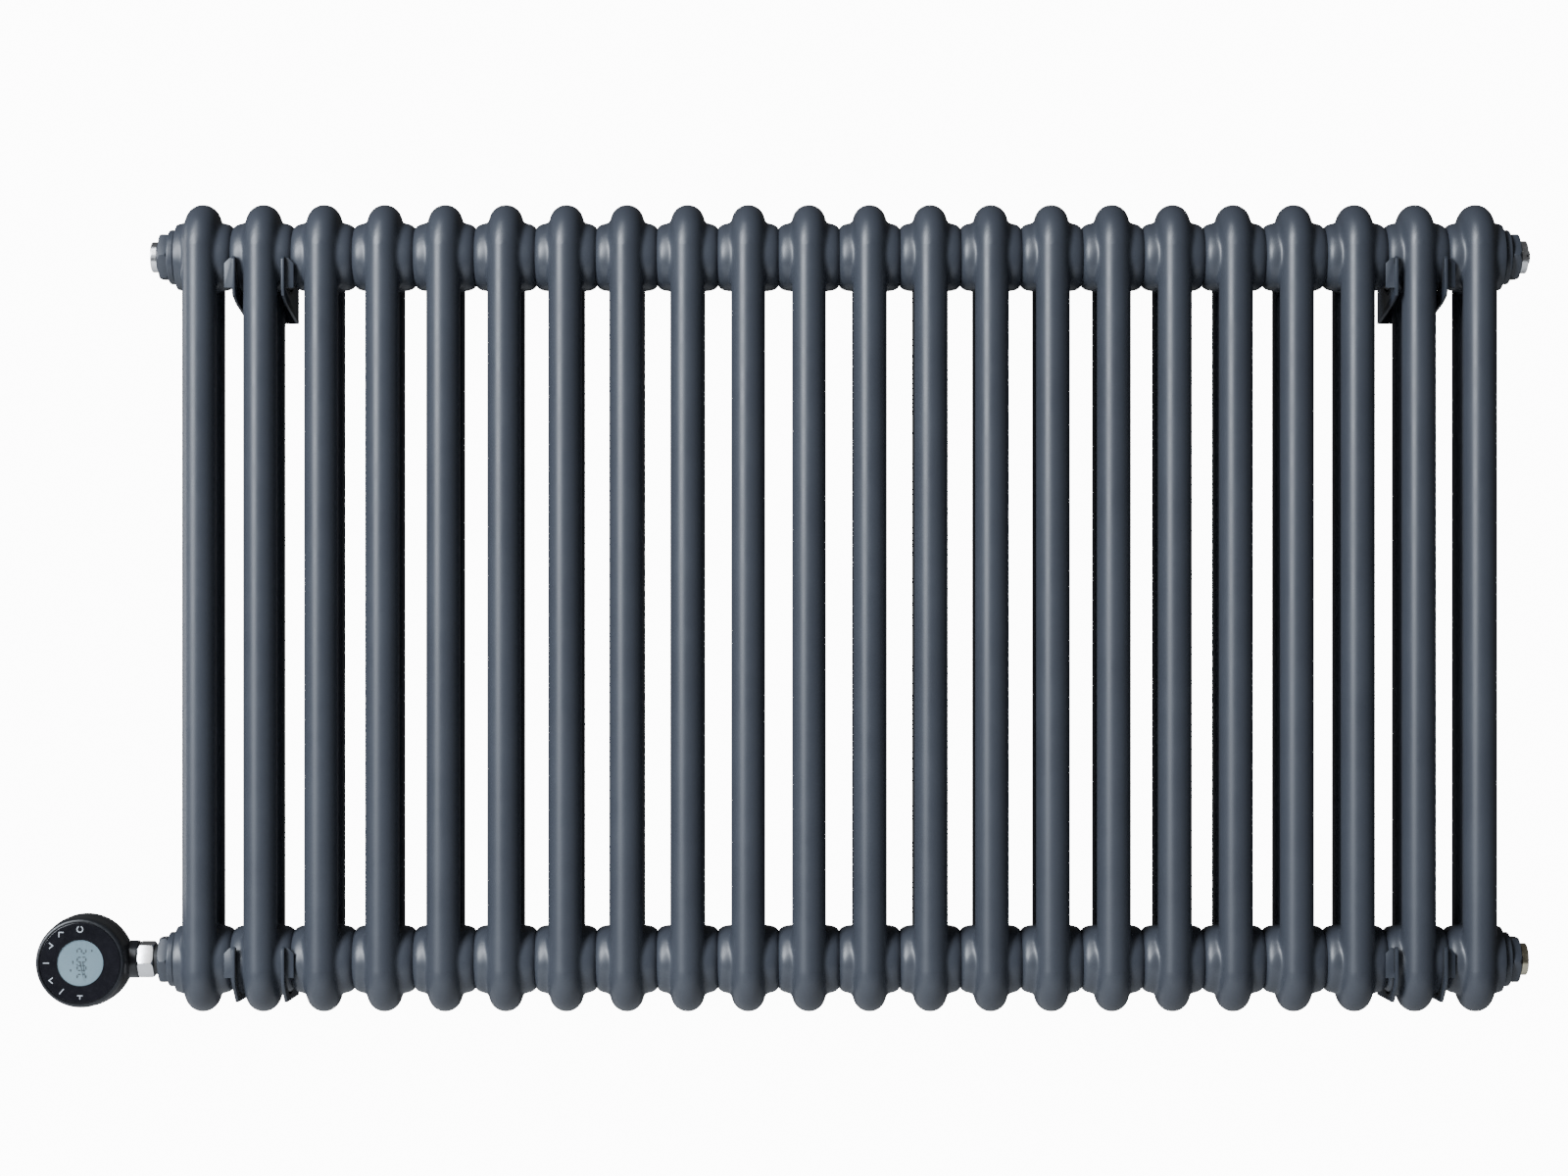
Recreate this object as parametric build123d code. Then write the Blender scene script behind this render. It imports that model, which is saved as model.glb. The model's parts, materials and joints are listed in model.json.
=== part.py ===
"""Electric column radiator on wall brackets with a turning thermostat head, drawn closed and at rest.

Millimetres, +Z up, the wall on y = 0, the radiator on the -Y side, the thermostat head on the -X end.
"""
import os
from math import cos, radians, sin

from build123d import *

os.makedirs("parts", exist_ok=True)

# sections
section_count = 22
pitch = 45.0
height = 600.0
tube_d = 25.0
tube_wall = 1.2
row_spacing = 40.0
port_inset = 39.0
stub_drop = 30.0
boss_d = 51.0
seam_d = 43.6
shoulder = 10.5
port_bore_d = 33.4
cavity_wall = 3.2
cavity_half = 13.5
cavity_cone = 5.0
end_trim = 3.5
# wall and brackets
wall_gap = 45.0
bracket_section = 2
plate = 2.2
cheek_inner = 17.0
cradle_room = 0.5
liner_wall = 0.9
liner_lip = 0.8
liner_side = 0.5
prong_t = 4.1
prong_rise = 12.0
heel_rise = 16.0
toe_drop = 18.0
foot_drop = 32.0
sole_t = 3.6
top_bracket_drop = 14.0
bolt_drop = 8.0
bolt_hole_d = 8.5
tab_reach = 6.4
tab_height = 22.0
tab_back = 6.6
# reducing bushes
gasket_t = 0.8
flange_d = 40.4
flange_t = 5.1
bush_af = 32.4
bush_hex_t = 7.0
spigot_len = 12.0
port_thread_room = 0.1
inner_bore_d = 21.0
# plugs and vent
oring_t = 1.0
plug_d = 22.6
plug_t = 5.4
brass_plug_d = 23.8
inner_thread_room = 0.1
socket_af = 10.0
socket_depth = 6.0
vent_d = 24.2
vent_t = 5.2
vent_slot = 2.2
vent_slot_depth = 1.8
bleed_shank_d = 5.0
bleed_fit = 0.05
bleed_len = 14.0
bleed_cap_d = 10.0
bleed_cap_t = 2.2
bleed_seat_d = 9.0
bleed_seat_depth = 3.4
bleed_ring_d = 0.8
rest_gap = 0.35
# heating element
element_gasket_t = 4.0
element_gasket_d = 22.7
nut_af = 24.4
nut_t = 11.6
nut_turn = 8.0
sheath_d = 12.5
sheath_len = 640.0
swivel_d = 20.0
swivel_len = 20.0
swivel_bore_d = 14.0
swivel_fit = 0.06
clip_t = 1.2
clip_grip = 1.5
# thermostat head
head_d = 68.5
head_offset = 67.5
head_back = 15.0
head_front = 28.0
head_taper = 2.7
parting_y = -9.0
parting_gap = 0.3
shell = 2.2
back_flat_r = 19.0
collar_d = 27.7
face_d = 59.6
face_t = 2.0
face_sink = 0.7
face_room = 0.25
ledge = 1.9
window_d = 34.2
window_room = 0.1
lens_t = 1.2
lcd_t = 3.8
icon_r = 24.9
icon_t = 0.25
icon_line = 0.7
icon_scale = 1.25
pcb_d = 50.0
pcb_t = 1.6
head_screw_d = 2.4
head_screw_r = 28.8
head_screw_angles = (62.0, 118.0, 270.0)
post_d = 6.4
screw_head_d = 4.6
gland_d = 12.0
gland_bore_d = 6.8
gland_rise = 7.0
gland_drop = 14.0
gland_side = 3.0

# places that follow from the sizes
port_half = height / 2 - port_inset
bend_z = port_inset - row_spacing / 2 - tube_d / 2
middle_z = bolt_drop + top_bracket_drop / 2
row_y = -wall_gap
end_x = section_count * pitch / 2 - end_trim
bush_face = gasket_t + flange_t + bush_hex_t
boss_r = boss_d / 2
seam_r = seam_d / 2
cradle_r = boss_r + cradle_room
notch_r = cradle_r + liner_wall
front_lip = notch_r + prong_t
tab_y = front_lip - tab_back
cheek_outer = cheek_inner + plate


def turned(points, axis=Axis.X):
    """Solid of revolution of a closed outline given as (along, radius) about X, or (radius, along) about Y."""
    return revolve(make_face(Polyline(*points, close=True)), axis)


def ring(x0, x1, outer, inner, soften=0.0):
    """Ring about X from x0 to x1 with its outside edges softened."""
    body = Pos(x0, 0, 0) * extrude(Plane.YZ * Circle(outer), x1 - x0)
    if soften:
        body = fillet(body.edges(), soften)
    return body - Pos(x0 - 1, 0, 0) * extrude(Plane.YZ * Circle(inner), x1 - x0 + 2)


def rod(x0, x1, radius):
    return Pos(x0, 0, 0) * extrude(Plane.YZ * Circle(radius), x1 - x0)


def hexagon(x0, x1, flats, corner, turn=0.0):
    """Hexagon bar along X with flats up and down before it turns, its end corners turned off by corner."""
    outline = Plane.YZ * RegularPolygon(flats / 2, 6, major_radius=False)
    bar = Rot(turn, 0, 0) * Pos(x0, 0, 0) * extrude(outline, x1 - x0)
    top = flats / 2 * 1.1547
    ends = [(x0, 0), (x0, top - corner), (x0 + corner, top), (x1 - corner, top), (x1, top - corner), (x1, 0)]
    return bar & turned(ends)


def button(x0, x1, radius, soften):
    """Short disc about X with its outer rim softened."""
    disc = rod(x0, x1, radius)
    return fillet(disc.edges().filter_by(GeomType.CIRCLE), soften)


def pack(*solids):
    return Compound(children=list(solids))


def save(name, shape):
    export_step(shape, f"parts/{name}.step")


# ---- sections
def boss_outline(radius_top, radius_seam):
    half = pitch / 2
    knee = half - shoulder
    bulge = (half - 0.36 * shoulder, radius_top - 0.33 * (radius_top - radius_seam))
    right = ThreePointArc((knee, radius_top), bulge, (half, radius_seam))
    left = ThreePointArc((-half, radius_seam), (-bulge[0], bulge[1]), (-knee, radius_top))
    top = Line((-knee, radius_top), (knee, radius_top))
    sides = Polyline((half, radius_seam), (half, 0), (-half, 0), (-half, radius_seam))
    return make_face([left, top, right, sides])


def cavity():
    half = pitch / 2
    bore = port_bore_d / 2
    wide = boss_r - cavity_wall
    knee = min(cavity_half, half - cavity_cone - 2)
    return turned([
        (-half - 1, 0), (-half - 1, bore), (-knee - cavity_cone, bore), (-knee, wide),
        (knee, wide), (knee + cavity_cone, bore), (half + 1, bore), (half + 1, 0),
    ])


def bend(radius):
    """Half torus over the port with its two straight stubs."""
    arc = Pos(0, 0, bend_z) * revolve(Pos(0, row_spacing / 2, 0) * Circle(radius), Axis.X, 180)
    length = bend_z + stub_drop
    stub = Pos(0, 0, bend_z - length / 2) * Cylinder(radius, length)
    return arc + Pos(0, row_spacing / 2, 0) * stub + Pos(0, -row_spacing / 2, 0) * stub


def section():
    hollow = cavity()
    outside = bend(tube_d / 2)
    elbow = outside - bend(tube_d / 2 - tube_wall) - hollow
    boss = revolve(boss_outline(boss_r, seam_r), Axis.X) - hollow - outside
    length = 2 * (port_half - stub_drop)
    tube = Cylinder(tube_d / 2, length) - Cylinder(tube_d / 2 - tube_wall, length)
    solids = [Pos(0, side * row_spacing / 2, 0) * tube for side in (-1, 1)]
    for piece in (elbow, boss):
        solids.append(Pos(0, 0, port_half) * piece)
        solids.append(Pos(0, 0, -port_half) * Rot(180, 0, 0) * piece)
    return [s for shape in solids for s in shape.solids()]


def section_x(number):
    return (number - (section_count + 1) / 2) * pitch


# ---- brackets
def cheek_face(lower):
    """Side view of one cheek: local x runs to the wall, local y is up, the port axis is the origin.

    The cradle stays on the port axis, and lower sinks the outline round it.
    """
    back = wall_gap
    tip = prong_rise - lower
    toe = -toe_drop - lower
    sole = min(toe - 4, -notch_r - sole_t)
    rim = [
        (back, -foot_drop - lower), (back, heel_rise - lower), (back - 9, heel_rise - lower),
        (notch_r + 2, tip + 3), (notch_r - 1, tip + 3), (1 - notch_r, tip), (-front_lip + 2, tip),
        (-front_lip, tip - 2), (-front_lip, toe + 6), (-front_lip + 2, toe + 1), (-notch_r / 2, sole),
    ]
    notch = Circle(notch_r) + Pos(0, notch_r) * Rectangle(2 * notch_r, 2 * notch_r)
    return make_face(Polyline(*rim, close=True)) - notch


def cradle_band(inner, outer, lower):
    """Open-topped U band round the port axis, drawn like cheek_face."""
    top = prong_rise - lower - 0.8
    level = min(top, 0)
    band = Circle(outer) - Circle(inner)
    band = band & Pos(0, (level - outer) / 2) * Rectangle(2 * outer, outer + level)
    if top > 0:
        for side in (-1, 1):
            band = band + Pos(side * (inner + outer) / 2, top / 2) * Rectangle(outer - inner, top)
    return band


def cheek_slab(face, x0, x1):
    """Extrude a side view from x0 to x1."""
    side_view = Plane(origin=(x0, 0, 0), x_dir=(0, 1, 0), z_dir=(1, 0, 0))
    return extrude(side_view * face, x1 - x0)


def bracket(lower):
    side_view = cheek_face(lower)
    cheek = cheek_slab(side_view, cheek_inner, cheek_outer)
    mid = (heel_rise - foot_drop) / 2 - lower
    back = Pos(0, wall_gap - plate / 2, mid) * Box(2 * cheek_outer, plate, heel_rise + foot_drop)
    hole = Pos(0, wall_gap, -bolt_drop - lower) * Rot(90, 0, 0) * Cylinder(bolt_hole_d / 2, 4 * plate)
    tab = make_face(Polyline(
        (0, 0), (tab_reach, 0), (tab_reach, tab_height - 4), (tab_reach - 4, tab_height), (0, tab_height),
        close=True,
    ))
    tab = extrude(Plane(origin=(0, 0, 0), x_dir=(1, 0, 0), z_dir=(0, -1, 0)) * tab, plate)
    wing = Pos(cheek_outer, -tab_y, prong_rise - lower - 1 - tab_height) * tab
    return cheek + mirror(cheek, Plane.YZ) + back + wing + mirror(wing, Plane.YZ) - hole


def liner(lower):
    """Pair of plastic clips over the cradle edges of one bracket."""
    band = cradle_band(cradle_r, notch_r + liner_lip, lower)
    clip = cheek_slab(band, cheek_inner - liner_side, cheek_outer + liner_side)
    slot = cradle_band(notch_r, notch_r + liner_lip + 1, lower - 2)
    clip = clip - cheek_slab(slot, cheek_inner, cheek_outer)
    wing_room = Pos(cheek_outer + 5, -tab_y - plate / 2, prong_rise - lower - 1 - tab_height / 2)
    clip = clip - wing_room * Box(10, plate + 0.2, tab_height + 0.4)
    return clip.solids() + mirror(clip, Plane.YZ).solids()


# ---- end fittings, drawn with x outward from the end face of the last section
def bush():
    flange = button(gasket_t, gasket_t + flange_t, flange_d / 2, 1.2)
    spigot = rod(gasket_t - spigot_len, gasket_t + 1, port_bore_d / 2 - port_thread_room)
    head = hexagon(gasket_t + flange_t - 0.5, bush_face, bush_af, 1.8)
    return flange + spigot + head - rod(-spigot_len - 5, bush_face + 5, inner_bore_d / 2)


def bush_gasket():
    return ring(0, gasket_t, flange_d / 2 - 0.4, port_bore_d / 2 + 0.1, 0.2)


def small_seal(width, outer):
    return ring(bush_face, bush_face + width, outer, inner_bore_d / 2 + 0.05, 0.35)


def spigot_of(face, depth):
    return rod(face - depth, face + 0.5, inner_bore_d / 2 - inner_thread_room)


def blanking_plug(diameter):
    face = bush_face + oring_t
    body = button(face, face + plug_t, diameter / 2, 1.0) + spigot_of(face, 10)
    socket = extrude(Plane.YZ * RegularPolygon(socket_af / 2, 6, major_radius=False), socket_depth + 1)
    return body - Pos(face + plug_t - socket_depth, 0, 0) * socket


def vent_body():
    face = bush_face + oring_t
    outer = face + vent_t
    body = button(face, outer, vent_d / 2, 0.7) + spigot_of(face, 10)
    body = body - rod(face - 11, outer + 1, bleed_shank_d / 2 + bleed_fit)
    body = body - rod(outer - bleed_seat_depth, outer + 1, bleed_seat_d / 2)
    slot = Pos(outer, 0, 0) * Box(2 * vent_slot_depth, vent_d + 2, vent_slot)
    outlet = Pos(outer - 2.2, 0, -vent_d / 4 - 1) * Cylinder(0.9, vent_d / 2)
    return body - slot - outlet


def bleed_screw():
    """Screw that closes the vent, with its cap clear of the vent face by rest_gap."""
    face = bush_face + oring_t + vent_t + rest_gap
    cap = button(face, face + bleed_cap_t, bleed_cap_d / 2, 0.4)
    shank_end = face - bleed_len
    r = bleed_shank_d / 2
    shank = turned([(shank_end, 0), (shank_end, 1.0), (shank_end + 1.5, r), (face + 0.5, r), (face + 0.5, 0)])
    slot = Pos(face + bleed_cap_t, 0, 0) * Box(2.0, 1.3, bleed_cap_d + 2)
    return cap + shank - slot


def bleed_seal():
    r = bleed_ring_d
    middle = bush_face + oring_t + vent_t - bleed_seat_depth + r + rest_gap
    hoop = Pos(middle, bleed_shank_d / 2 + bleed_fit + r, 0) * Circle(r)
    return revolve(hoop, Axis.X)


def element_nut():
    """Hexagon with the thread into the bush on one side and the swivel spigot for the head on the other."""
    face = bush_face + element_gasket_t
    outer = face + nut_t
    body = hexagon(face, outer, nut_af, 1.3, nut_turn) + spigot_of(face, 12)
    body = body + rod(outer - 1, outer + swivel_len, swivel_d / 2)
    groove_x = outer + swivel_len - 3
    groove = ring(groove_x, groove_x + clip_t + 0.1, swivel_d, swivel_d / 2 - 0.8)
    bore = rod(face + 2, outer + swivel_len + 1, swivel_bore_d / 2)
    seat = rod(face - 13, face - 6, sheath_d / 2 + 0.05)
    return body - groove - bore - seat


def swivel_clip():
    """Spring ring in the spigot groove, open on one side."""
    x = bush_face + element_gasket_t + nut_t + swivel_len - 3
    hoop = ring(x + 0.05, x + clip_t, swivel_d / 2 + clip_grip, swivel_d / 2 - 0.75)
    return hoop - Pos(x, 0, -swivel_d / 2) * Box(6, 5, 8)


def sheath():
    face = bush_face + element_gasket_t
    r = sheath_d / 2
    start = face - 6.05
    return rod(start - sheath_len, start, r) + Pos(start - sheath_len, 0, 0) * Sphere(r)


# ---- thermostat head: x outward from the section end face, y to the wall, the port axis is y = z = 0
def rear_outline(inset):
    r = head_d / 2 - inset
    flat = back_flat_r
    top = head_back - inset
    edge = parting_y + parting_gap / 2
    curve = ThreePointArc((flat, top), (flat + (r - flat) * 0.72, top - top * 0.31), (r, 0))
    rest = Polyline((r, 0), (r, edge), (0, edge), (0, top), (flat, top))
    return make_face([curve, rest])


def on_face(radius, angle):
    """Place on the head seen from the front: angle from +X towards +Z."""
    return Pos(head_offset - radius * cos(radians(angle)), 0, radius * sin(radians(angle)))


def along_y(radius, y0, y1):
    return Pos(0, (y0 + y1) / 2, 0) * Rot(90, 0, 0) * Cylinder(radius, abs(y1 - y0))


def rear_housing():
    edge = parting_y + parting_gap / 2
    outside = Pos(head_offset, 0, 0) * revolve(rear_outline(0), Axis.Y)
    body = outside - Pos(head_offset, 0, 0) * revolve(rear_outline(shell), Axis.Y)
    body = body - Pos(head_offset, 0, 0) * along_y(head_d / 2 - shell, edge - 1, 0)
    posts = [on_face(head_screw_r, a) * along_y(post_d / 2, edge, head_back) for a in head_screw_angles]
    for post in posts:
        body = body + (post & outside)
    for a in head_screw_angles:
        body = body - on_face(head_screw_r, a) * along_y(head_screw_d / 2 + 0.25, edge - 1, head_back + 1)
        body = body - on_face(head_screw_r, a) * along_y(screw_head_d / 2 + 0.2, 6, head_back + 1)
    body = body - rod(0, head_offset - 18, collar_d / 2 + 0.1)
    gland_place = Pos(head_offset + gland_side, 0, -gland_drop)
    return body - gland_place * along_y(gland_d / 2 - 1.5 + 0.1, 5, head_back + 5)


def front_bezel():
    edge = parting_y - parting_gap / 2
    r = head_d / 2
    lip = face_d / 2 + face_room
    seat = -head_front + face_sink + face_t
    back_of_ledge = seat + 2.0
    front_r = r - head_taper
    middle = (edge - head_front) / 2
    brow = (front_r, -head_front + 1.2)
    rim = [
        ThreePointArc((r, edge), (r - 0.28 * head_taper, middle), brow),
        ThreePointArc(brow, (front_r - 0.4, -head_front + 0.3), (lip + 0.5, -head_front)),
        Polyline(
            (lip + 0.5, -head_front), (lip, -head_front + 0.5), (lip, seat), (lip - ledge, seat),
            (lip - ledge, back_of_ledge), (front_r - shell + 0.9, back_of_ledge), (r - shell, edge), (r, edge),
        ),
    ]
    body = Pos(head_offset, 0, 0) * revolve(make_face(rim), Axis.Y)
    for a in head_screw_angles:
        post = on_face(head_screw_r, a) * along_y(post_d / 2, edge, seat + 2.2)
        body = body + post
    for a in head_screw_angles:
        body = body - on_face(head_screw_r, a) * along_y(head_screw_d / 2, edge - 10, edge + 1)
    return body - rod(0, head_offset - 18, collar_d / 2 + 0.1)


def collar():
    """Neck ring that turns on the swivel spigot and is held by the housing halves."""
    start = bush_face + element_gasket_t + nut_t + rest_gap
    inner = swivel_d / 2 + swivel_fit
    body = rod(start, start + 15.5, collar_d / 2)
    body = fillet(body.edges().filter_by(GeomType.CIRCLE), 0.6)
    return body - rod(start - 1, start + 17, inner)


def icon_strokes():
    """Seven generic marks at unit scale, each a list of strokes drawn around its own middle."""
    hook = Polyline((-1.5, -1.4), (-1.5, 1.4), (1.3, 1.4))
    left = Polyline((1.1, 1.7), (-1.1, 0), (1.1, -1.7))
    right = Polyline((-1.1, 1.7), (1.1, 0), (-1.1, -1.7))
    bar = Line((-1.8, 0), (1.8, 0))
    slash = Line((-1.3, -1.5), (1.3, 1.5))
    tee = Polyline((-1.6, 0.7), (1.6, 0.7))
    stem = Line((0, 0.7), (0, -1.4))
    power = CenterArc((0, 0), 1.7, 110, 320)
    return [(90, [power]), (123, [hook]), (149, [right]), (180, [bar]), (211, [left]), (237, [slash]),
            (270, [tee, stem])]


def icons(thickness, spread):
    solids = []
    front = -head_front + face_sink
    view = Plane(origin=(0, front - thickness + icon_t, 0), x_dir=(-1, 0, 0), z_dir=(0, 1, 0))
    for angle, strokes in icon_strokes():
        mark = Sketch() + [trace(scale(s, icon_scale), icon_line + spread) for s in strokes]
        solid = on_face(icon_r, angle) * extrude(view * mark, thickness)
        solids += solid.solids()
    return solids


def face_plate():
    front = -head_front + face_sink
    disc = Pos(head_offset, 0, 0) * along_y(face_d / 2, front, front + face_t)
    disc = fillet(disc.edges().filter_by(GeomType.CIRCLE).sort_by(Axis.Y)[0], 0.5)
    window = Pos(head_offset, 0, 0) * along_y(window_d / 2 + window_room, front - 1, front + face_t + 1)
    disc = disc - window
    for mark in icons(icon_t + 1, 0.04):
        disc = disc - mark
    return disc


def lens():
    front = -head_front + face_sink - 0.1
    return Pos(head_offset, 0, 0) * along_y(window_d / 2, front, front + lens_t)


def lcd():
    front = -head_front + face_sink + lens_t
    return Pos(head_offset, 0, 0) * along_y(window_d / 2 - 0.2, front, front + lcd_t)


def pcb():
    y0 = -head_front + face_sink + lens_t + lcd_t + 0.1
    board = Pos(head_offset, 0, 0) * along_y(pcb_d / 2, y0, y0 + pcb_t)
    chip = Pos(head_offset + 8, y0 + pcb_t + 0.75, 6) * Box(9, 1.5, 9)
    port = Pos(head_offset + 9, y0 + pcb_t + 2.05, -12) * Box(14, 4.0, 5)
    return [board, chip, port]


def power_board():
    board = Pos(head_offset + 9, 3.0, 0) * Box(26, 1.6, 38)
    relay = Pos(head_offset + 11, -2.35, 8) * Box(15, 9, 18)
    terminals = Pos(head_offset + 10, -1.4, -12) * Box(10, 7, 16)
    return [board, relay, terminals]


def head_screws():
    solids = []
    edge = parting_y - parting_gap / 2
    for a in head_screw_angles:
        shank = along_y(head_screw_d / 2 - 0.02, edge - 7, 6.5)
        cap = along_y(screw_head_d / 2, 6, 8.2)
        cross = Pos(0, 8.2, 0) * (Box(3, 1.6, 0.7) + Box(0.7, 1.6, 3))
        solids.append(on_face(head_screw_r, a) * (shank + cap - cross))
    return solids


def gland():
    y1 = head_back + gland_rise
    body = along_y(gland_d / 2, head_back + 0.05, y1)
    body = fillet(body.edges().filter_by(GeomType.CIRCLE).sort_by(Axis.Y)[-1], 1.2)
    body = body + along_y(gland_d / 2 - 1.5, 8, head_back + 1)
    body = body - along_y(gland_bore_d / 2, 0, y1 + 1)
    return Pos(head_offset + gland_side, 0, -gland_drop) * body


def at_port(shape, side, level):
    """Carry a fitting from its own drawing to one end of a header."""
    z = middle_z + level * port_half
    if side > 0:
        return Pos(end_x, row_y, z) * shape
    return Pos(-end_x, row_y, z) * mirror(shape, Plane.YZ)


def save_at(name, shapes, side, level):
    solids = shapes if isinstance(shapes, list) else shapes.solids()
    save(name, pack(*[at_port(s, side, level) for s in solids]))


def faced(solids, side):
    """Turn the outer bosses of an end section back by end_trim."""
    reach = pitch / 2
    waste = Pos(side * (reach - end_trim + pitch / 2), 0, 0) * Box(pitch, 4 * boss_d, 2 * height)
    return [s for solid in solids for s in (solid - waste).solids()]


def write_sections():
    solids = section()
    ends = {1: faced(solids, -1), section_count: faced(solids, 1)}
    for number in range(1, section_count + 1):
        place = Pos(section_x(number), row_y, middle_z)
        save(f"section_{number:02d}", pack(*[place * s for s in ends.get(number, solids)]))


def write_brackets():
    for level, row, lower in ((1, "top", top_bracket_drop), (-1, "bottom", 0)):
        frame = bracket(lower)
        clips = liner(lower)
        z = middle_z + level * port_half
        for side, end in ((-1, "left"), (1, "right")):
            x = side * section_x(section_count + 1 - bracket_section)
            save(f"bracket_{row}_{end}", Pos(x, row_y, z) * frame)
            save(f"liner_{row}_{end}", pack(*[Pos(x, row_y, z) * c for c in clips]))


def write_fittings():
    ends = {"top_left": (-1, 1), "top_right": (1, 1), "bottom_left": (-1, -1), "bottom_right": (1, -1)}
    for corner, (side, level) in ends.items():
        save_at(f"bush_{corner}", bush(), side, level)
        save_at(f"bush_gasket_{corner}", bush_gasket(), side, level)
    save_at("blanking_plug", blanking_plug(plug_d), -1, 1)
    save_at("blanking_plug_oring", small_seal(oring_t, 10.95), -1, 1)
    save_at("vent_body", vent_body(), 1, 1)
    save_at("vent_oring", small_seal(oring_t, 11.2), 1, 1)
    save_at("bleed_screw", bleed_screw(), 1, 1)
    save_at("bleed_seal", bleed_seal(), 1, 1)
    save_at("drain_plug", blanking_plug(brass_plug_d), 1, -1)
    save_at("drain_plug_oring", small_seal(oring_t, 11.2), 1, -1)


def write_element():
    gasket = small_seal(element_gasket_t, element_gasket_d / 2)
    parts = {
        "element_gasket": gasket, "element_nut": element_nut(), "swivel_clip": swivel_clip(),
        "element_sheath": sheath(),
        "head_collar": collar(), "head_rear_housing": rear_housing(), "head_front_bezel": front_bezel(),
        "head_face_plate": face_plate(), "head_icons": icons(icon_t, 0),
        "head_lens": lens(), "head_lcd": lcd(),
        "head_electronics": pcb() + power_board(), "head_screws": head_screws(), "cable_gland": gland(),
    }
    for name, shape in parts.items():
        save_at(name, shape, -1, -1)


write_sections()
write_brackets()
write_fittings()
write_element()
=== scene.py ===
import bpy, bmesh, json
from math import radians, cos, sin, pi
from mathutils import Matrix, Vector


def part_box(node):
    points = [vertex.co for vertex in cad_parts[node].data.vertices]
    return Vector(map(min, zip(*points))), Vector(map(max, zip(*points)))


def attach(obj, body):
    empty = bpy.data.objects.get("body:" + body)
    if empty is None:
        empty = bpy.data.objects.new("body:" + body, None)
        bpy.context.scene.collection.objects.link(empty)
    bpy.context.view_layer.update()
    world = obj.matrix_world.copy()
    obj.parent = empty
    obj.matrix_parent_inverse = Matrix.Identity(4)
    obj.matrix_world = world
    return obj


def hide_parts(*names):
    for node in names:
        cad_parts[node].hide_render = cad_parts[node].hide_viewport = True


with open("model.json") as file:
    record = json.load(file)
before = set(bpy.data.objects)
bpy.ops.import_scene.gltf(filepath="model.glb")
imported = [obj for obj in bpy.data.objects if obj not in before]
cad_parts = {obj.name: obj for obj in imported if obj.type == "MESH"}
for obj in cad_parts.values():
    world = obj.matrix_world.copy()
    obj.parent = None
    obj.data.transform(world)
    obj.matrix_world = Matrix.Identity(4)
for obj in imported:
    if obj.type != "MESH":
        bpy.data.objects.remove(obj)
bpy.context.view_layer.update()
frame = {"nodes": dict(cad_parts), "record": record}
nodes = frame["nodes"]
print("frame loaded:", len(nodes), "nodes")

mm = 0.001


# places read from the frame
def middle(name):
    low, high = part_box(name)
    return Vector([(a + b) / 2 for a, b in zip(low, high)])


def extent(name):
    low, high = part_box(name)
    return Vector([b - a for a, b in zip(low, high)])


sectionNames = sorted(n for n in nodes if n.startswith("section_"))
innerNames = sectionNames[1:-1]  # the two end sections are faced back, so their boxes are lopsided
sectionPitch = (middle(innerNames[-1]).x - middle(innerNames[0]).x) / (len(innerNames) - 1)
sectionHeight = extent(innerNames[0]).z
rowMiddle = (middle(innerNames[0]) + middle(innerNames[-1])) / 2  # middle of the section pack


def centreOf(name):  # tube centre of a section
    place = sectionNames.index(name) - (len(sectionNames) - 1) / 2
    return rowMiddle + Vector((place * sectionPitch, 0, 0))


portLift = (middle("blanking_plug").z - middle("drain_plug").z) / 2  # port centre above mid height


# camera and lights
cameraSetup = {"distance": 2.440, "aside": -0.041, "above": 0.015, "lens": 75.3}
camera = bpy.data.objects.new("viewCamera", bpy.data.cameras.new("viewCamera"))
bpy.context.scene.collection.objects.link(camera)
camera.data.lens = cameraSetup["lens"]
camera.location = rowMiddle + Vector((cameraSetup["aside"], -cameraSetup["distance"], cameraSetup["above"]))
camera.rotation_euler = (radians(90), 0, 0)
bpy.context.scene.camera = camera

lightSetup = [  # name, place, size across and up, watts, colour
    ("keyLeft", (-2.8, -3.4, 1.45), 1.6, 2.6, 390, (0.86, 0.92, 1.0)),
    ("keyHigh", (-1.9, -2.2, 3.1), 1.4, 2.0, 60, (0.88, 0.93, 1.0)),
    ("edgeLeft", (-3.4, 0.5, 0.3), 1.2, 2.4, 46, (0.92, 0.95, 1.0)),
    ("highFront", (-1.2, -2.6, 1.75), 1.8, 1.1, 12, (1.0, 1.0, 1.0)),
]


def placeLight(name, place, across, up, watts, colour):
    lamp = bpy.data.lights.new(name, "AREA")
    lamp.shape, lamp.size, lamp.size_y = "RECTANGLE", across, up
    lamp.energy, lamp.color = watts, colour
    holder = bpy.data.objects.new(name, lamp)
    holder.location = place
    aim = rowMiddle - Vector(place)
    holder.rotation_euler = aim.to_track_quat("-Z", "Y").to_euler()
    bpy.context.scene.collection.objects.link(holder)


for entry in lightSetup:
    placeLight(*entry)

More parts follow.
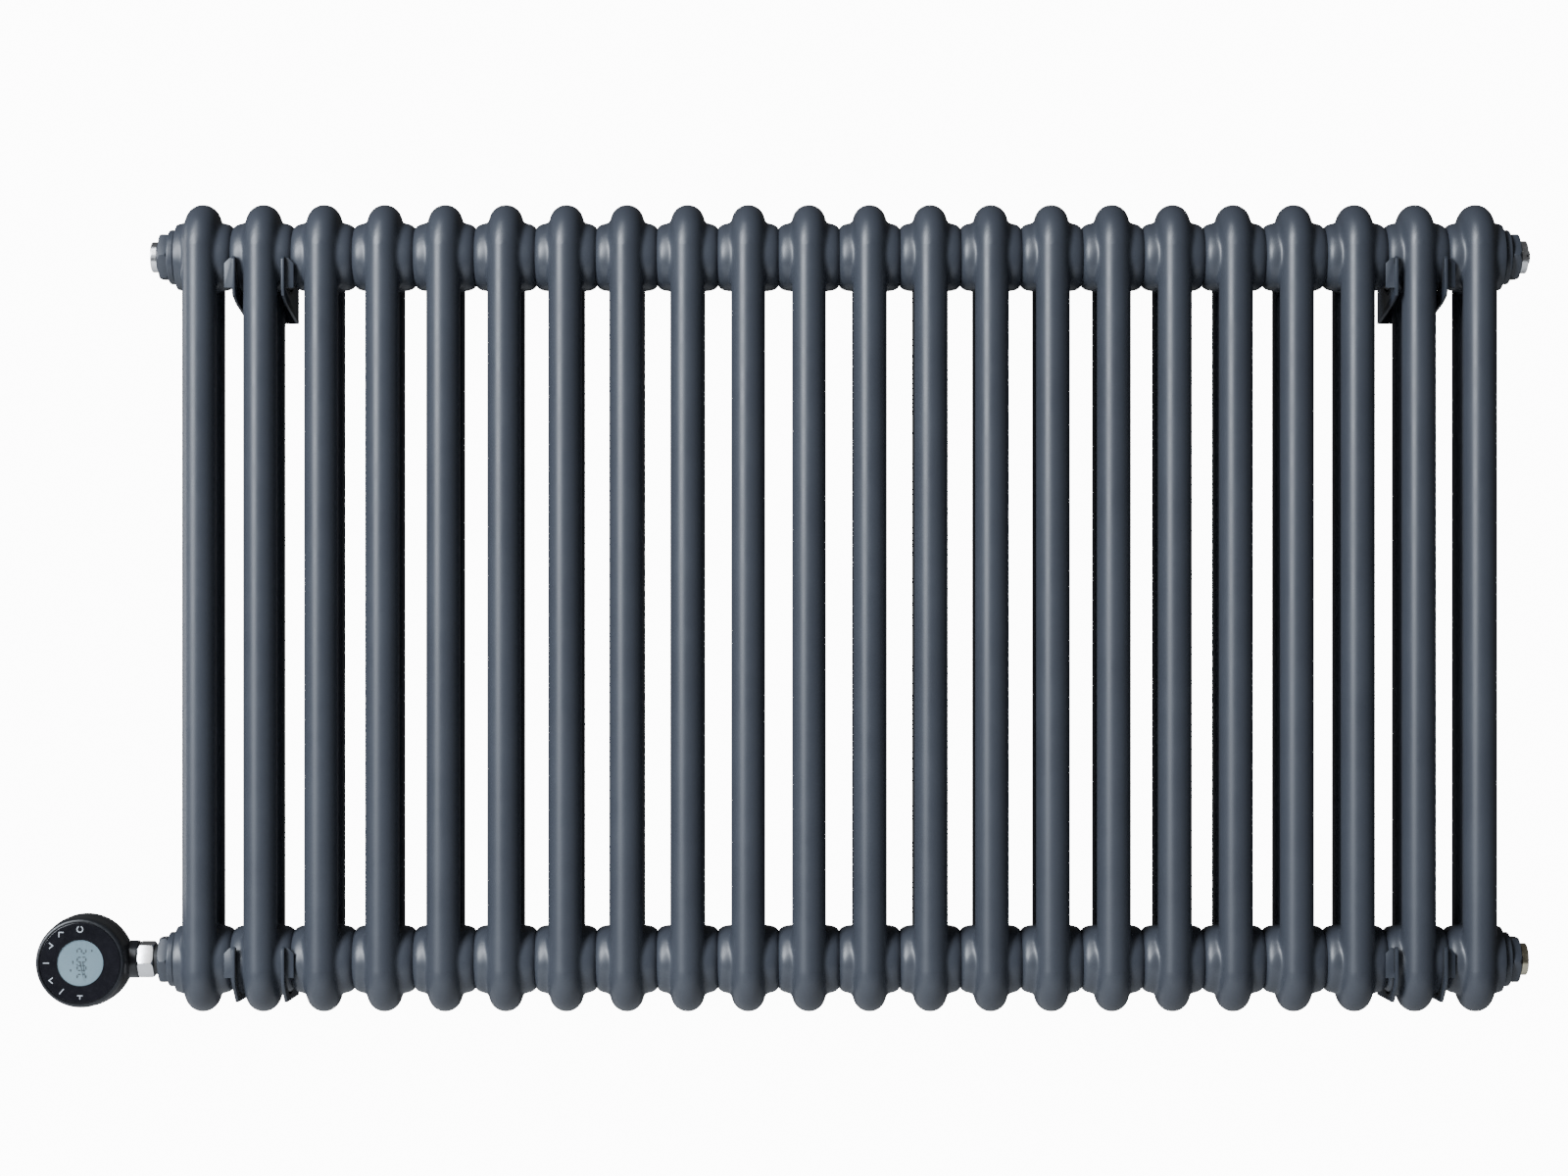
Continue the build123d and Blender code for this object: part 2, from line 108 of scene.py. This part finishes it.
world = bpy.data.worlds.new("paleStudio")
world.use_nodes = True
bpy.context.scene.world = world
worldTree = world.node_tree
worldTree.nodes.clear()
worldOut = worldTree.nodes.new("ShaderNodeOutputWorld")
seenWhite = worldTree.nodes.new("ShaderNodeBackground")
softGrey = worldTree.nodes.new("ShaderNodeBackground")
rayKind = worldTree.nodes.new("ShaderNodeLightPath")
eitherOne = worldTree.nodes.new("ShaderNodeMixShader")
seenWhite.inputs["Color"].default_value = (1, 1, 1, 1)
seenWhite.inputs["Strength"].default_value = 12.5
softGrey.inputs["Color"].default_value = (0.95, 0.97, 1, 1)
softGrey.inputs["Strength"].default_value = 0.09
worldTree.links.new(rayKind.outputs["Is Camera Ray"], eitherOne.inputs["Fac"])
worldTree.links.new(softGrey.outputs[0], eitherOne.inputs[1])
worldTree.links.new(seenWhite.outputs[0], eitherOne.inputs[2])
worldTree.links.new(eitherOne.outputs[0], worldOut.inputs["Surface"])


# materials
def startMaterial(name, base, rough, metal=0.0):
    mat = bpy.data.materials.new(name)
    mat.use_nodes = True
    tree = mat.node_tree
    skin = tree.nodes["Principled BSDF"]
    skin.inputs["Base Color"].default_value = (*base, 1)
    skin.inputs["Roughness"].default_value = rough
    skin.inputs["Metallic"].default_value = metal
    return mat, tree, skin


def noiseAt(tree, scale, detail=3.0, stretch=(1, 1, 1)):
    coords = tree.nodes.new("ShaderNodeTexCoord")
    turn = tree.nodes.new("ShaderNodeMapping")
    turn.inputs["Scale"].default_value = stretch
    noise = tree.nodes.new("ShaderNodeTexNoise")
    noise.inputs["Scale"].default_value = scale
    noise.inputs["Detail"].default_value = detail
    tree.links.new(coords.outputs["Object"], turn.inputs["Vector"])
    tree.links.new(turn.outputs["Vector"], noise.inputs["Vector"])
    return noise.outputs["Fac"]


def varyColour(tree, skin, factor, low, high):
    ramp = tree.nodes.new("ShaderNodeValToRGB")
    ramp.color_ramp.elements[0].position = 0.3
    ramp.color_ramp.elements[1].position = 0.7
    ramp.color_ramp.elements[0].color = (*low, 1)
    ramp.color_ramp.elements[1].color = (*high, 1)
    tree.links.new(factor, ramp.inputs["Fac"])
    tree.links.new(ramp.outputs["Color"], skin.inputs["Base Color"])


def varyRoughness(tree, skin, factor, low, high):
    spread = tree.nodes.new("ShaderNodeMapRange")
    spread.inputs["From Min"].default_value = 0.3
    spread.inputs["From Max"].default_value = 0.7
    spread.inputs["To Min"].default_value = low
    spread.inputs["To Max"].default_value = high
    tree.links.new(factor, spread.inputs["Value"])
    tree.links.new(spread.outputs["Result"], skin.inputs["Roughness"])


def addBump(tree, skin, factor, strength, depth):
    bump = tree.nodes.new("ShaderNodeBump")
    bump.inputs["Strength"].default_value = strength
    bump.inputs["Distance"].default_value = depth
    tree.links.new(factor, bump.inputs["Height"])
    tree.links.new(bump.outputs["Normal"], skin.inputs["Normal"])


def powderCoat(name, low, high, rough):
    mat, tree, skin = startMaterial(name, low, rough)
    varyColour(tree, skin, noiseAt(tree, 14.0, 4.0), low, high)  # faint clouding of the coat
    varyRoughness(tree, skin, noiseAt(tree, 60.0), rough - 0.03, rough + 0.04)
    addBump(tree, skin, noiseAt(tree, 1100.0, 2.0), 0.10, 0.00012)  # orange peel
    skin.inputs["Specular IOR Level"].default_value = 0.5
    return mat


def platedMetal(name, low, high, rough, scratch):
    mat, tree, skin = startMaterial(name, low, rough, 1.0)
    varyColour(tree, skin, noiseAt(tree, 90.0, 5.0), low, high)
    varyRoughness(tree, skin, noiseAt(tree, 500.0, 6.0, (0.15, 1, 1)), rough, rough + scratch)
    addBump(tree, skin, noiseAt(tree, 900.0, 2.0, (0.2, 1, 1)), 0.05, 0.00008)
    return mat


def mouldedPlastic(name, low, high, rough, grain, depth):
    mat, tree, skin = startMaterial(name, low, rough)
    varyColour(tree, skin, noiseAt(tree, 70.0), low, high)
    varyRoughness(tree, skin, noiseAt(tree, 300.0), rough - 0.04, rough + 0.06)
    addBump(tree, skin, noiseAt(tree, grain, 2.0), 0.25, depth)
    return mat


def displayPanel(name, low, high):
    mat, tree, skin = startMaterial(name, low, 0.35)
    varyColour(tree, skin, noiseAt(tree, 25.0, 1.0), low, high)
    addBump(tree, skin, noiseAt(tree, 2500.0, 1.0), 0.05, 0.00003)
    return mat


def clearLens(name):
    mat, tree, skin = startMaterial(name, (0.30, 0.36, 0.38), 0.08)
    varyRoughness(tree, skin, noiseAt(tree, 200.0), 0.06, 0.1)
    skin.inputs["Alpha"].default_value = 0.08
    return mat


paint = powderCoat("slatePowderCoat", (0.037, 0.042, 0.053), (0.043, 0.049, 0.061), 0.38)
bracketPaint = powderCoat("bracketPowderCoat", (0.026, 0.031, 0.041), (0.032, 0.038, 0.050), 0.42)
chrome = platedMetal("brightPlate", (0.78, 0.78, 0.79), (0.86, 0.86, 0.87), 0.2, 0.1)
brass = platedMetal("nickelledBrass", (0.52, 0.47, 0.33), (0.62, 0.58, 0.44), 0.2, 0.15)
zinc = platedMetal("zincSteel", (0.5, 0.52, 0.54), (0.6, 0.61, 0.62), 0.28, 0.15)
sheathSteel = platedMetal("drawnSheath", (0.42, 0.42, 0.42), (0.52, 0.52, 0.52), 0.3, 0.15)
rubber = mouldedPlastic("sealRubber", (0.010, 0.010, 0.011), (0.018, 0.018, 0.019), 0.6, 1400.0, 0.0001)
clipPlastic = mouldedPlastic("clipNylon", (0.014, 0.015, 0.017), (0.022, 0.023, 0.026), 0.5, 1800.0, 0.00008)
headPlastic = mouldedPlastic("headShell", (0.010, 0.011, 0.013), (0.016, 0.017, 0.020), 0.3, 2200.0, 0.00005)
faceGloss = mouldedPlastic("faceGloss", (0.006, 0.006, 0.008), (0.009, 0.009, 0.012), 0.14, 900.0, 0.00001)
iconPrint = mouldedPlastic("iconInk", (0.42, 0.45, 0.48), (0.5, 0.53, 0.56), 0.4, 3000.0, 0.00002)
boardGreen = mouldedPlastic("solderMask", (0.015, 0.07, 0.03), (0.02, 0.09, 0.04), 0.35, 1200.0, 0.00005)
display = displayPanel("liquidCrystal", (0.15, 0.235, 0.28), (0.19, 0.285, 0.33))
displayInk = mouldedPlastic("segmentInk", (0.02, 0.03, 0.036), (0.03, 0.04, 0.048), 0.4, 2500.0, 0.00002)
lensClear = clearLens("windowClear")
print("materials ready")

finishes = {
    "radiator_paint": paint, "bracket_paint": bracketPaint, "liner_plastic": clipPlastic,
    "seal_rubber": rubber, "chrome_plate": chrome, "pale_brass": brass, "screw_steel": zinc,
    "sheath_steel": sheathSteel, "head_plastic": headPlastic, "face_gloss": faceGloss,
    "icon_print": iconPrint, "lens_glass": lensClear, "display": display, "board_green": boardGreen,
}
slotOf = {}
for entry in frame["record"]["subparts"]:
    slotOf[entry["node"]] = entry["material_slot"]


def dress(thing, mat):
    thing.data.materials.clear()
    thing.data.materials.append(mat)


for name, thing in nodes.items():
    dress(thing, finishes[slotOf[name]])


# helpers for new pieces
def newPiece(name, mesh, body, slot, replaced=()):
    piece = bpy.data.objects.new(name, mesh)
    bpy.context.scene.collection.objects.link(piece)
    dress(piece, finishes[slot])
    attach(piece, body)
    if replaced:
        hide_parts(*replaced)
    return piece


def smoothShade(mesh, angle=35):
    mesh.polygons.foreach_set("use_smooth", [True] * len(mesh.polygons))
    mesh.set_sharp_from_angle(angle=radians(angle))


def meshFrom(bm, name, angle=35):
    mesh = bpy.data.meshes.new(name)
    bm.to_mesh(mesh)
    bm.free()
    smoothShade(mesh, angle)
    return mesh


# section castings: bent head and port boss melted into one skin
casting = {
    "tubeRadius": 12.5 * mm, "rowHalf": 20 * mm, "bossRadius": 25.5 * mm, "seamRadius": 20.4 * mm,
    "shoulder": 10.5 * mm, "stub": 30 * mm, "skinGrain": 1.35 * mm, "melt": 9, "around": 56,
    "turns": 72, "shoulderSteps": 6, "overrun": 1.2 * mm, "seamDip": 0.6 * mm,
}
bendRise = sectionHeight / 2 - portLift - casting["rowHalf"] - casting["tubeRadius"]


def bossProfile():
    half, knee = sectionPitch / 2, sectionPitch / 2 - casting["shoulder"]
    top, seam = casting["bossRadius"], casting["seamRadius"]
    points = []
    for step in range(casting["shoulderSteps"] + 1):  # round shoulder from the knee out to the seam
        turn = radians(90) * step / casting["shoulderSteps"]
        points.append((knee + (half - knee) * sin(turn) ** 1.1, seam + (top - seam) * cos(turn) ** 0.75))
    right = points + [(half + casting["overrun"], seam - casting["seamDip"])]
    return [(-x, r) for x, r in reversed(right)] + right


def addBoss(bm):
    reach = sectionPitch / 2 + casting["overrun"]
    profile = [(-reach, 0)] + bossProfile() + [(reach, 0)]
    verts = [bm.verts.new((x, 0, r)) for x, r in profile]
    edges = [bm.edges.new(pair) for pair in zip(verts, verts[1:])]
    bmesh.ops.spin(
        bm, geom=verts + edges, cent=(0, 0, 0), axis=(1, 0, 0), angle=2 * pi, steps=casting["turns"],
        use_merge=True)


def addBend(bm):
    made = bmesh.ops.create_circle(
        bm, cap_ends=True, radius=casting["tubeRadius"], segments=casting["around"])
    bmesh.ops.translate(bm, verts=made["verts"], vec=(0, casting["rowHalf"], -casting["stub"]))
    cap = list({f for v in made["verts"] for f in v.link_faces})

    def pull(face, rise):
        grown = bmesh.ops.extrude_face_region(bm, geom=[face])["geom"]
        moved = [g for g in grown if isinstance(g, bmesh.types.BMVert)]
        bmesh.ops.translate(bm, verts=moved, vec=(0, 0, rise))
        return [g for g in grown if isinstance(g, bmesh.types.BMFace)][0]

    top = pull(cap[0], bendRise + casting["stub"])
    arc = bmesh.ops.spin(
        bm, geom=[top], cent=(0, 0, bendRise), axis=(1, 0, 0), angle=pi, steps=casting["around"] // 2)
    end = [g for g in arc["geom_last"] if isinstance(g, bmesh.types.BMFace)][0]
    pull(end, -bendRise - casting["stub"])
    bmesh.ops.delete(bm, geom=[end], context="FACES_ONLY")


def meltedHead():
    parts = []
    for build in (addBend, addBoss):
        bm = bmesh.new()
        build(bm)
        bmesh.ops.remove_doubles(bm, verts=bm.verts, dist=1e-6)
        bmesh.ops.recalc_face_normals(bm, faces=bm.faces)
        mesh = bpy.data.meshes.new("casting")
        bm.to_mesh(mesh)
        bm.free()
        parts.append(mesh)
    both = bmesh.new()
    for mesh in parts:
        both.from_mesh(mesh)
    joined = bpy.data.meshes.new("castingRaw")
    both.to_mesh(joined)
    both.free()
    holder = bpy.data.objects.new("castingRaw", joined)
    bpy.context.scene.collection.objects.link(holder)
    skin = holder.modifiers.new("skin", "REMESH")
    skin.mode, skin.voxel_size, skin.use_smooth_shade = "VOXEL", casting["skinGrain"], True
    melt = holder.modifiers.new("melt", "SMOOTH")
    melt.factor, melt.iterations = 0.5, casting["melt"]
    done = bpy.data.meshes.new_from_object(holder.evaluated_get(bpy.context.evaluated_depsgraph_get()))
    bpy.data.objects.remove(holder)
    return done


def trimEnds(bm, point, normal):
    cut = bmesh.ops.bisect_plane(
        bm, geom=bm.verts[:] + bm.edges[:] + bm.faces[:], dist=1e-7, plane_co=point, plane_no=normal,
        clear_outer=True)
    rim = [g for g in cut["geom_cut"] if isinstance(g, bmesh.types.BMEdge)]
    bmesh.ops.edgeloop_fill(bm, edges=rim)


def buildSection(headMesh, leftReach, rightReach):
    bm = bmesh.new()
    bm.from_mesh(headMesh)
    trimEnds(bm, (rightReach, 0, 0), (1, 0, 0))
    trimEnds(bm, (-leftReach, 0, 0), (-1, 0, 0))
    trimEnds(bm, (0, 0, -casting["stub"] + 2.5 * mm), (0, 0, -1))
    upper = bpy.data.meshes.new("upperHead")
    bm.to_mesh(upper)
    bm.free()
    bm = bmesh.new()
    for flip in (1, -1):
        before = set(bm.verts)
        bm.from_mesh(upper)
        fresh = [v for v in bm.verts if v not in before]
        turn = Matrix.Rotation(0 if flip > 0 else pi, 4, "X")
        bmesh.ops.transform(bm, matrix=Matrix.Translation((0, 0, flip * portLift)) @ turn, verts=fresh)
    length = 2 * (portLift + bendRise)
    for side in (-1, 1):
        place = Matrix.Translation((0, side * casting["rowHalf"], 0))
        bmesh.ops.create_cone(
            bm, cap_ends=True, segments=casting["around"], radius1=casting["tubeRadius"],
            radius2=casting["tubeRadius"], depth=length, matrix=place)
    return meshFrom(bm, "sectionSkin", 50)


headMesh = meltedHead()
welded = sectionPitch / 2
sectionMesh = buildSection(headMesh, welded, welded)
firstMesh = buildSection(headMesh, centreOf(sectionNames[0]).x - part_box(sectionNames[0])[0][0], welded)
lastMesh = buildSection(headMesh, welded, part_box(sectionNames[-1])[1][0] - centreOf(sectionNames[-1]).x)
meshFor = {sectionNames[0]: firstMesh, sectionNames[-1]: lastMesh}
for name in sectionNames:
    mesh = meshFor.get(name, sectionMesh).copy()
    mesh.transform(Matrix.Translation(centreOf(name)))
    newPiece("skin" + name.title().replace("_", ""), mesh, "radiator", "radiator_paint", (name,))
print("sections skinned:", len(sectionNames), "faces each", len(sectionMesh.polygons))


# pieces given softened edges
softEdges = {
    "bracket": {"width": 0.35 * mm, "segments": 2, "angle": 40},
    "bush_top": {"width": 0.45 * mm, "segments": 2, "angle": 25},
    "bush_bottom": {"width": 0.45 * mm, "segments": 2, "angle": 25},
    "element_nut": {"width": 0.35 * mm, "segments": 2, "angle": 25},
}


def softenedCopy(name, width, segments, angle):
    bm = bmesh.new()
    bm.from_mesh(nodes[name].data)
    bmesh.ops.remove_doubles(bm, verts=bm.verts, dist=2e-6)
    bmesh.ops.dissolve_limit(bm, angle_limit=radians(0.5), verts=bm.verts, edges=bm.edges)
    sharp = [e for e in bm.edges if len(e.link_faces) == 2 and e.calc_face_angle(0) > radians(angle)]
    bmesh.ops.bevel(
        bm, geom=sharp, offset=width, offset_type="OFFSET", affect="EDGES", segments=segments,
        profile=0.5, material=-1, clamp_overlap=True)
    mesh = meshFrom(bm, name + "Soft", 35)
    body = [b for b, members in frame["record"]["behaviour"]["bodies"].items() if name in members][0]
    newPiece(name.replace("_", "") + "Soft", mesh, body, slotOf[name], (name,))


for name in sorted(nodes):
    for start, edge in softEdges.items():
        if name.startswith(start) and not name.startswith("bush_gasket"):
            softenedCopy(name, **edge)
print("edges softened")


# thermostat head shells, spun smooth about the front to back axis
headShell = {
    "taper": 2.7 * mm, "front": 28 * mm, "wall": 2.2 * mm, "parting": 9 * mm, "gap": 0.3 * mm,
    "ledge": 1.9 * mm, "seat": 25.3 * mm, "lipRoom": 0.25 * mm, "around": 120,
    "lean": 0.28, "shoulderBack": 6 * mm, "fullness": 0.62, "rimSteps": 14, "edgeSoft": 0.3 * mm,
}
headMiddle = middle("head_face_plate")
headAxis = Vector((headMiddle.x, rowMiddle.y, headMiddle.z))


def spunShell(name, profile, body, slot, replaced):
    bm = bmesh.new()
    verts = [bm.verts.new((r, y, 0)) for r, y in profile]
    edges = [bm.edges.new(pair) for pair in zip(verts, verts[1:] + verts[:1])]
    bmesh.ops.spin(
        bm, geom=verts + edges, cent=(0, 0, 0), axis=(0, 1, 0), angle=2 * pi, steps=headShell["around"],
        use_merge=True)
    bmesh.ops.remove_doubles(bm, verts=bm.verts, dist=1e-6)
    bmesh.ops.recalc_face_normals(bm, faces=bm.faces)
    bmesh.ops.translate(bm, verts=bm.verts, vec=headAxis)
    return newPiece(name, meshFrom(bm, name, 40), body, slot, replaced)


def sweepRound(fromPoint, toPoint):
    (r0, y0), (r1, y1) = fromPoint, toPoint
    fullness, steps = headShell["fullness"], headShell["rimSteps"]
    points = []
    for step in range(steps + 1):
        turn = radians(90) * step / steps
        points.append((r1 + (r0 - r1) * cos(turn) ** fullness, y0 + (y1 - y0) * sin(turn) ** fullness))
    return points


def buildFrontShell():
    outer = extent("head_front_bezel").z / 2
    lip = extent("head_face_plate").z / 2 + headShell["lipRoom"]
    edge = -headShell["parting"] - headShell["gap"] / 2
    shoulder = (outer - headShell["lean"] * headShell["taper"], edge - headShell["shoulderBack"])
    side = [(outer - headShell["edgeSoft"], edge), (outer, edge - headShell["edgeSoft"])]
    rim = sweepRound(shoulder, (lip + 0.5 * mm, -headShell["front"]))
    shelf, seat = lip - headShell["ledge"], -headShell["seat"]
    wall = outer - headShell["wall"]
    inner = [
        (lip, -headShell["front"] + 0.5 * mm), (lip, seat), (shelf, seat), (shelf, seat + 2 * mm),
        (wall - 1.6 * mm, seat + 2 * mm), (wall, edge),
    ]
    spunShell("frontShell", side + rim + inner, "thermostat_head", "head_plastic", ("head_front_bezel",))


buildFrontShell()
print("front shell spun")


# reading on the display
reading = {
    "text": "20.0C", "tall": 6.4 * mm, "wide": 3.4 * mm, "step": 6.3 * mm, "stroke": 1.25 * mm,
    "thick": 0.04 * mm, "start": 8.8 * mm, "shift": 1.0 * mm, "barLength": 0.86, "levelFatter": 1.15,
}
stateMarks = [  # across, up, length
    (-9.0 * mm, 7.6 * mm, 2.2 * mm),
    (-0.5 * mm, -6.4 * mm, 3.0 * mm),
    (5.5 * mm, -8.0 * mm, 2.4 * mm),
]
litSegments = {"0": "abcdef", "2": "abged", "C": "adef"}


def addStroke(bm, at, length, upright):
    made = bmesh.ops.create_circle(bm, cap_ends=True, radius=0.5, segments=6)
    verts = made["verts"]
    level = (length, reading["stroke"] * reading["levelFatter"], 1)
    size = (reading["stroke"], length, 1) if upright else level
    turn = Matrix.Rotation(pi / 6 if upright else 0, 4, "Z")
    bmesh.ops.transform(bm, matrix=turn, verts=verts)
    bmesh.ops.scale(bm, vec=size, verts=verts)
    bmesh.ops.translate(bm, vec=(at[0], at[1], 0), verts=verts)


def addDigit(bm, digit, at):
    w, h = reading["wide"] / 2, reading["tall"] / 2
    spots = {
        "a": ((0, h), 0), "g": ((0, 0), 0), "d": ((0, -h), 0), "f": ((-w, h / 2), 1),
        "b": ((w, h / 2), 1), "e": ((-w, -h / 2), 1), "c": ((w, -h / 2), 1),
    }
    for segment in litSegments[digit]:
        (x, y), upright = spots[segment]
        length = (reading["tall"] / 2 if upright else reading["wide"]) * reading["barLength"]
        addStroke(bm, (at + x, y), length, bool(upright))


def addDot(bm, x, y, radius, inner=0.0):
    verts = bmesh.ops.create_circle(bm, cap_ends=True, radius=radius, segments=20)["verts"]
    if inner:
        face = list({f for v in verts for f in v.link_faces})
        bmesh.ops.inset_region(bm, faces=face, thickness=radius - inner)
        bmesh.ops.delete(bm, geom=face, context="FACES_ONLY")
        verts = list({v for v in bm.verts if v.co.length <= radius * 1.01 and not v.tag})
    bmesh.ops.translate(bm, vec=(x, y, 0), verts=verts)
    for v in bm.verts:
        v.tag = True


def buildReading():
    bm = bmesh.new()
    at = reading["start"] * -1
    for letter in reading["text"]:
        if letter == ".":
            addStroke(bm, (at - reading["step"] * 0.42, -reading["tall"] / 2), reading["stroke"], False)
        else:
            addDigit(bm, letter, at)
            at += reading["step"]
    for v in bm.verts:
        v.tag = True
    addDot(bm, at - 1.2 * mm, reading["tall"] / 2 - 0.6 * mm, 0.95 * mm, 0.5 * mm)  # degree ring
    for x, y, length in stateMarks:
        addStroke(bm, (x, y), length, False)
    flat = list(bm.faces)
    grown = bmesh.ops.extrude_face_region(bm, geom=flat)
    risen = [g for g in grown["geom"] if isinstance(g, bmesh.types.BMVert)]
    bmesh.ops.translate(bm, vec=(0, 0, reading["thick"]), verts=risen)
    bmesh.ops.recalc_face_normals(bm, faces=bm.faces)
    low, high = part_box("head_lcd")
    centre = middle("head_lcd")
    # the head is fitted a quarter turn round: its reading runs downwards, digit tops towards +X
    stand = Matrix(((0, 1, 0), (0, 0, -1), (-1, 0, 0))).to_4x4()
    place = Matrix.Translation((centre.x + reading["shift"], low[1] - 0.005 * mm, centre.z))
    bmesh.ops.transform(bm, matrix=place @ stand, verts=bm.verts)
    mesh = meshFrom(bm, "displayReading", 30)
    piece = newPiece("displayReading", mesh, "thermostat_head", "display")
    dress(piece, displayInk)


buildReading()
print("display written")

# floor
floorSetup = {"size": 4.5, "below": 1.0, "thick": 0.02}
bm = bmesh.new()
bmesh.ops.create_grid(bm, x_segments=8, y_segments=8, size=floorSetup["size"] / 2)
bmesh.ops.translate(bm, vec=(0, 0, rowMiddle.z - sectionHeight / 2 - floorSetup["below"]), verts=bm.verts)
floor = bpy.data.objects.new("paleFloor", meshFrom(bm, "paleFloor"))
bpy.context.scene.collection.objects.link(floor)
dress(floor, mouldedPlastic("floorPaint", (0.78, 0.78, 0.78), (0.82, 0.82, 0.82), 0.8, 60.0, 0.0002))
